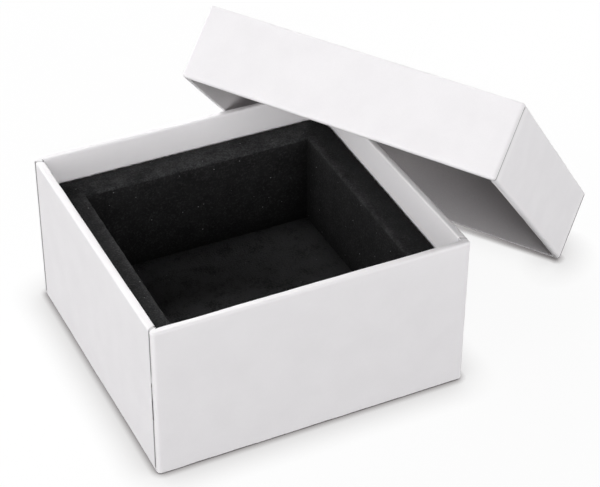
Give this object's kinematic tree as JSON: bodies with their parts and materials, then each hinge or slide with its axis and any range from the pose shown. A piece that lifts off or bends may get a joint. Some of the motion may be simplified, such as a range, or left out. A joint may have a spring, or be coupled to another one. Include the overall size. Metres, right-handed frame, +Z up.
{
  "type": "lidded box",
  "caption": "Square paper-covered rigid box, open, with its loose telescoping lid leaning on a rear corner and a deep-pocket foam insert.",
  "frame": {"origin": "centre of the tray's underside, on the surface it stands on", "axes": "+Z up, +X to the tray's right, +Y to its rear; the lid leans on the rear right corner"},
  "size_m": [0.1564, 0.122, 0.0831],
  "materials": {
    "wrap_paper": "matte",
    "stay_paper": "matte",
    "greyboard": "matte",
    "foam": "matte"
  },
  "bodies": {
    "tray": {"base_floor_board": "greyboard", "base_front_board": "greyboard", "base_rear_board": "greyboard", "base_left_board": "greyboard", "base_right_board": "greyboard", "base_corner_stays": "stay_paper", "base_wrap": "wrap_paper", "base_bottom_sheet": "wrap_paper"},
    "insert": {"insert_frame": "foam", "insert_pad": "foam"},
    "lid": {"lid_top_board": "greyboard", "lid_front_board": "greyboard", "lid_rear_board": "greyboard", "lid_left_board": "greyboard", "lid_right_board": "greyboard", "lid_corner_stays": "stay_paper", "lid_wrap": "wrap_paper", "lid_liner": "wrap_paper"}
  },
  "joints": [
    {"name": "lid_lift", "type": "slide", "parent": "tray", "child": "lid", "axis": [0.61, 0.4039, 0.6817], "range_m": [0, 0.09]},
    {"name": "insert_lift", "type": "slide", "parent": "tray", "child": "insert", "axis": [0, 0, 1], "range_m": [0, 0.0495]}
  ],
  "couplings": [
    {"joint": "insert_lift", "follows": "lid_lift", "ratio": 0.55}
  ]
}
